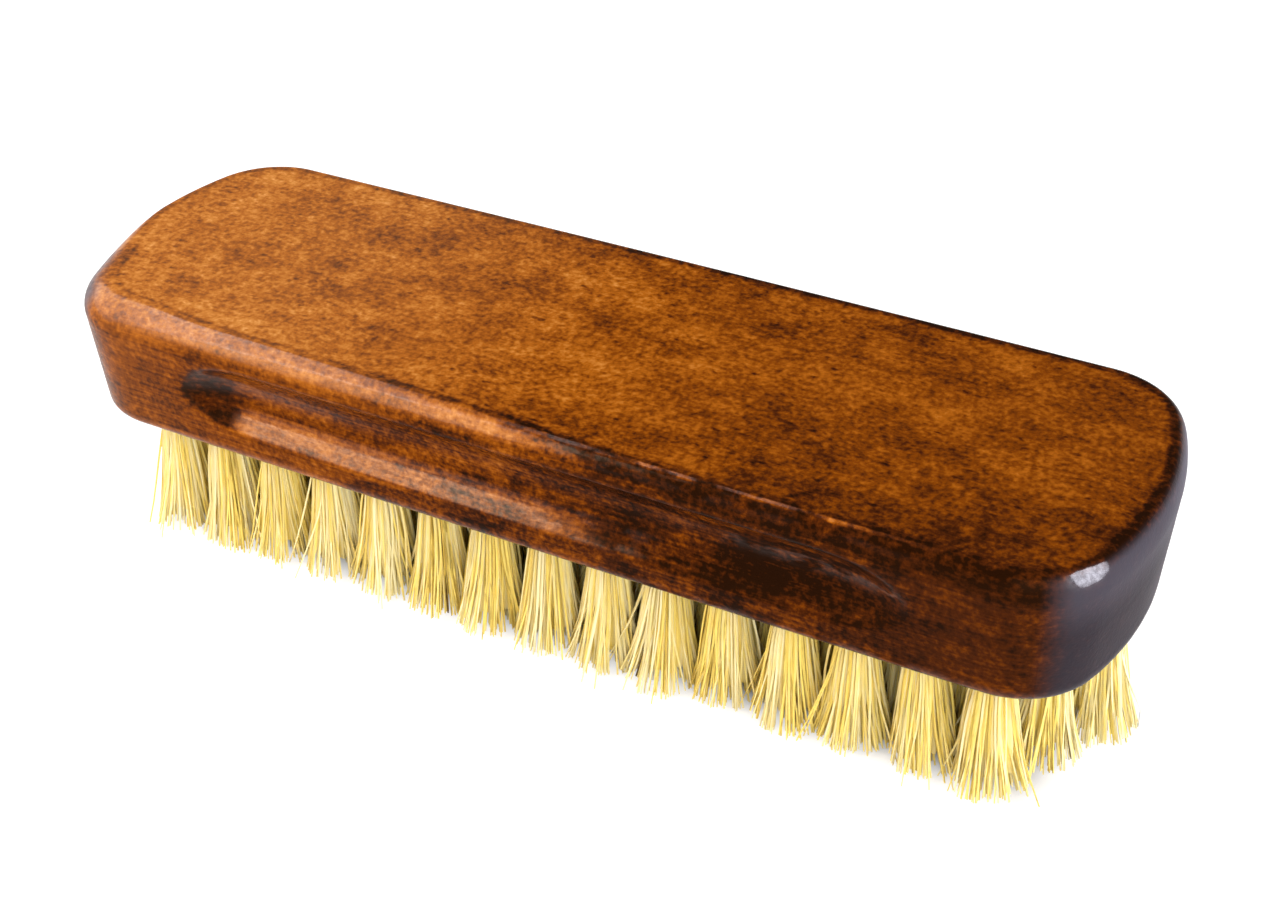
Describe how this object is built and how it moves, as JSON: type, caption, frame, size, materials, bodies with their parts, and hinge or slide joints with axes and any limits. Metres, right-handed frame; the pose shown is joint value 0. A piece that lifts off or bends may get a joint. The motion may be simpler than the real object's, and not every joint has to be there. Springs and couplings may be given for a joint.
{
  "type": "cleaning brush",
  "caption": "Hand brush with a one-piece wooden block, bowed ends, a finger groove along each long side and staggered tufts of trimmed natural bristle.",
  "frame": {"origin": "under the middle of the brush, on the plane of the trimmed bristle tips that it stands on", "axes": "+X along the length of the block, +Y across it, +Z from the bristle tips to the flat wooden top"},
  "size_m": [0.16, 0.05, 0.0407],
  "materials": {
    "wood": "glossy, orange-brown stained beech with darker mottling along the grain",
    "bristle": "natural pale hog bristle, satin strands"
  },
  "bodies": {
    "root": {"wooden_block": "wood", "tuft_near_01": "bristle", "tuft_near_02": "bristle", "tuft_near_03": "bristle", "tuft_near_04": "bristle", "tuft_near_05": "bristle", "tuft_near_06": "bristle", "tuft_near_07": "bristle", "tuft_near_08": "bristle", "tuft_near_09": "bristle", "tuft_near_10": "bristle", "tuft_near_11": "bristle", "tuft_near_12": "bristle", "tuft_near_13": "bristle", "tuft_near_14": "bristle", "tuft_near_15": "bristle", "tuft_far_01": "bristle", "tuft_far_02": "bristle", "tuft_far_03": "bristle", "tuft_far_04": "bristle", "tuft_far_05": "bristle", "tuft_far_06": "bristle", "tuft_far_07": "bristle", "tuft_far_08": "bristle", "tuft_far_09": "bristle", "tuft_far_10": "bristle", "tuft_far_11": "bristle", "tuft_far_12": "bristle", "tuft_far_13": "bristle", "tuft_far_14": "bristle", "tuft_far_15": "bristle", "tufts_inner_01": "bristle", "tufts_inner_02": "bristle", "tufts_inner_03": "bristle", "tufts_inner_04": "bristle", "tufts_inner_05": "bristle", "tufts_inner_06": "bristle", "tufts_inner_07": "bristle", "tufts_inner_08": "bristle", "tufts_inner_09": "bristle", "tufts_inner_10": "bristle", "tufts_inner_11": "bristle", "tufts_inner_12": "bristle", "tufts_inner_13": "bristle", "tufts_inner_14": "bristle", "tufts_inner_15": "bristle", "tufts_inner_16": "bristle", "tufts_inner_17": "bristle"}
  },
  "joints": []
}
